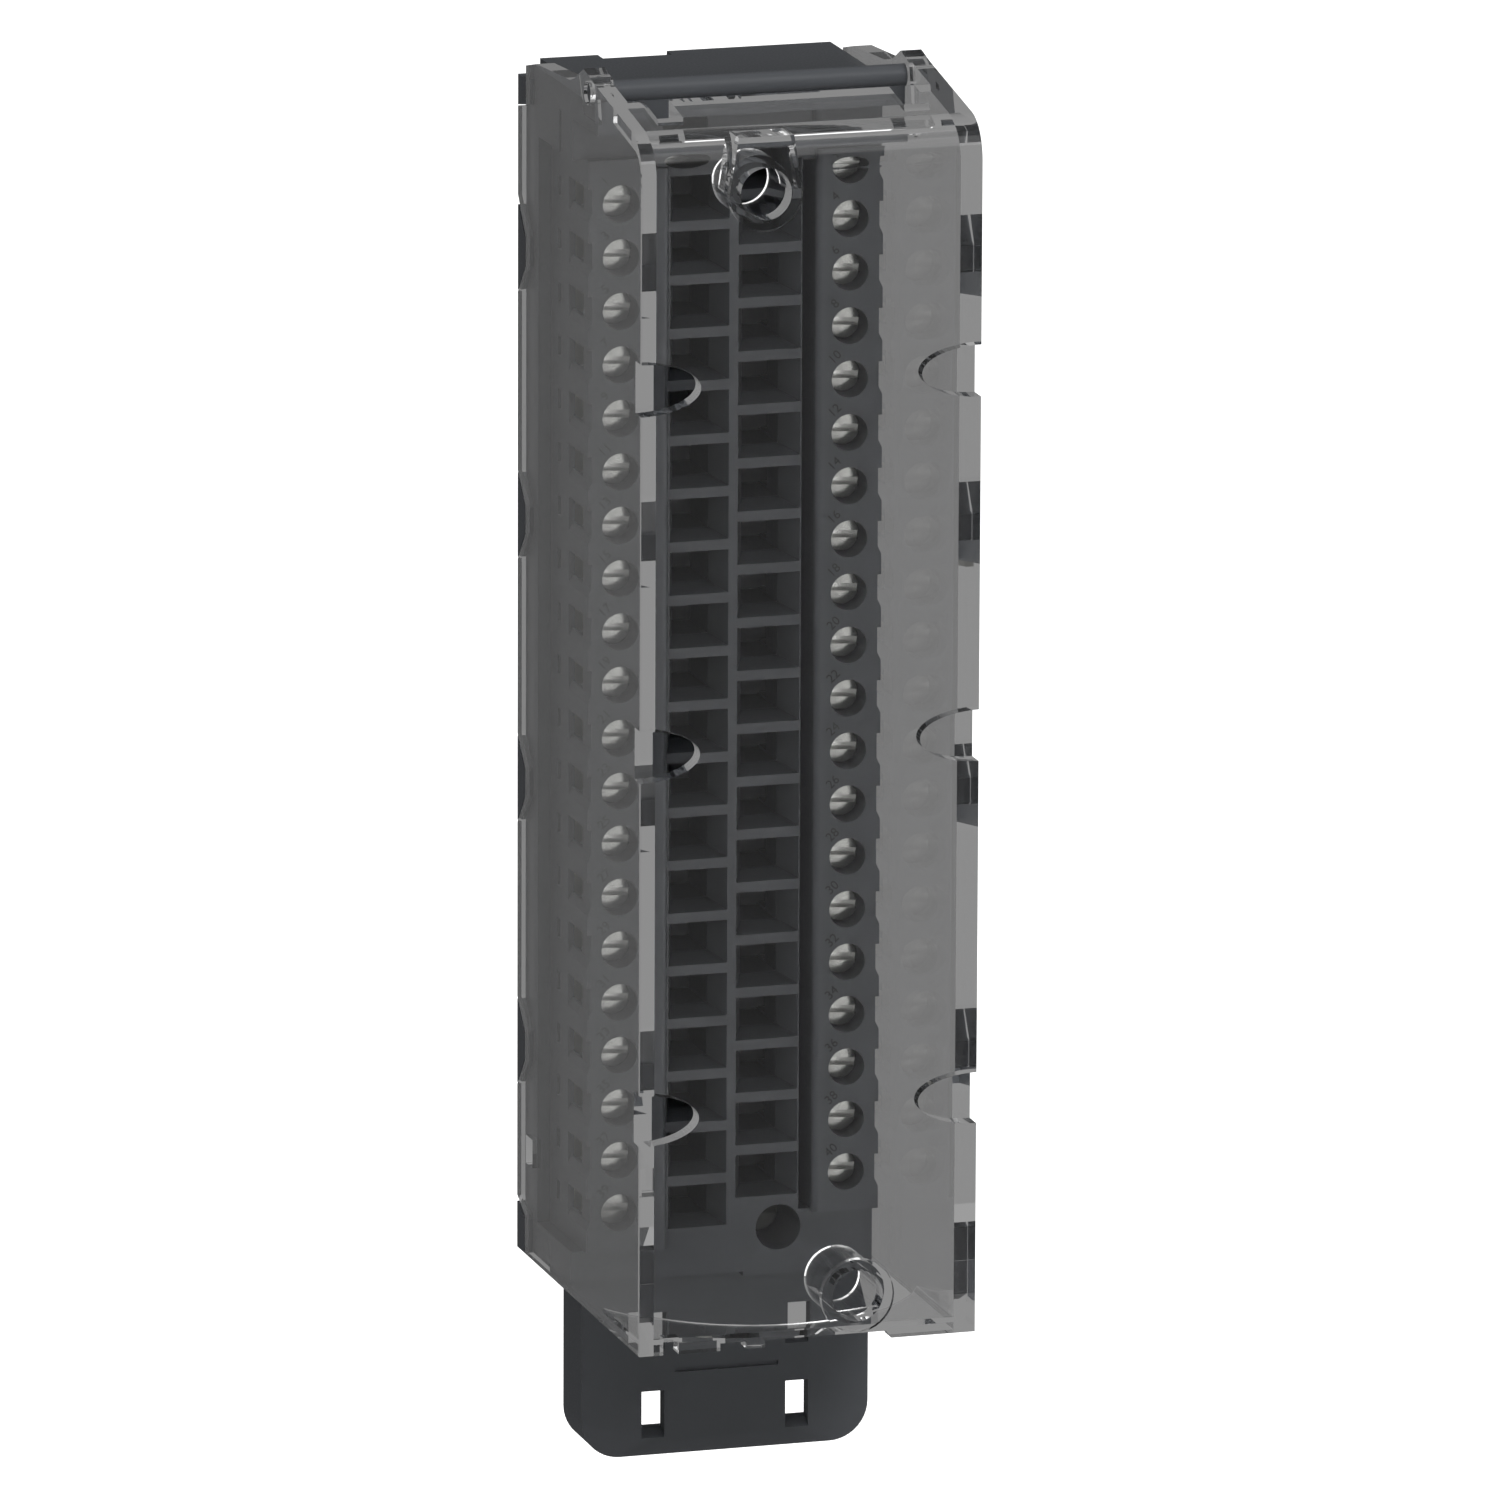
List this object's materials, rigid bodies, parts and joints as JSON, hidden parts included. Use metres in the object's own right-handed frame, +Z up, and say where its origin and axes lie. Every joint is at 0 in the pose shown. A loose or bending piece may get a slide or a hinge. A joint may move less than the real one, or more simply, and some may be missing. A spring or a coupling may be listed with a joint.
{
  "type": "removable terminal block",
  "caption": "Removable screw terminal block with two staggered rows of wire entries, a hinged clear cover, captive fixing screws and a cable tie tongue.",
  "frame": {"origin": "in the rear mating plane of the block, on the centre line of the 32 mm module width, midway up the closed cover", "axes": "+X to the right seen from the front, +Y back into the module, +Z up along the rows of terminals, tongue at the bottom"},
  "size_m": [0.032, 0.0447, 0.1329],
  "materials": {
    "dark_plastic": "fine satin moulding, dark grey",
    "clear_plastic": "clear, polished",
    "plated_steel": "plated, satin",
    "zinc_steel": "zinc plated",
    "tinned_brass": "tin plated"
  },
  "bodies": {
    "housing": {"base_housing": "dark_plastic", "terminal_housing": "dark_plastic", "left_terminal_screws": "plated_steel", "right_terminal_screws": "plated_steel", "left_contacts": "tinned_brass", "right_contacts": "tinned_brass", "upper_fixing_washer": "plated_steel", "lower_fixing_washer": "plated_steel", "left_clamp_01": "zinc_steel", "left_clamp_02": "zinc_steel", "left_clamp_03": "zinc_steel", "left_clamp_04": "zinc_steel", "left_clamp_05": "zinc_steel", "left_clamp_06": "zinc_steel", "left_clamp_07": "zinc_steel", "left_clamp_08": "zinc_steel", "left_clamp_09": "zinc_steel", "left_clamp_10": "zinc_steel", "left_clamp_11": "zinc_steel", "left_clamp_12": "zinc_steel", "left_clamp_13": "zinc_steel", "left_clamp_14": "zinc_steel", "left_clamp_15": "zinc_steel", "left_clamp_16": "zinc_steel", "left_clamp_17": "zinc_steel", "left_clamp_18": "zinc_steel", "left_clamp_19": "zinc_steel", "left_clamp_20": "zinc_steel", "right_clamp_01": "zinc_steel", "right_clamp_02": "zinc_steel", "right_clamp_03": "zinc_steel", "right_clamp_04": "zinc_steel", "right_clamp_05": "zinc_steel", "right_clamp_06": "zinc_steel", "right_clamp_07": "zinc_steel", "right_clamp_08": "zinc_steel", "right_clamp_09": "zinc_steel", "right_clamp_10": "zinc_steel", "right_clamp_11": "zinc_steel", "right_clamp_12": "zinc_steel", "right_clamp_13": "zinc_steel", "right_clamp_14": "zinc_steel", "right_clamp_15": "zinc_steel", "right_clamp_16": "zinc_steel", "right_clamp_17": "zinc_steel", "right_clamp_18": "zinc_steel", "right_clamp_19": "zinc_steel", "right_clamp_20": "zinc_steel"},
    "cover": {"cover": "clear_plastic"},
    "upper_screw": {"upper_fixing_screw": "plated_steel"},
    "lower_screw": {"lower_fixing_screw": "plated_steel"}
  },
  "joints": [
    {"name": "cover_hinge", "type": "hinge", "parent": "housing", "child": "cover", "pos_m": [0, -0.0225, 0.0579], "axis": [-1, 0, 0], "range_deg": [0, 110]},
    {"name": "upper_screw_turn", "type": "hinge", "parent": "housing", "child": "upper_screw", "pos_m": [-0.00457, 0, 0.0516], "axis": [0, 1, 0], "continuous": true},
    {"name": "lower_screw_turn", "type": "hinge", "parent": "housing", "child": "lower_screw", "pos_m": [0.00457, 0, -0.0516], "axis": [0, 1, 0], "continuous": true}
  ]
}
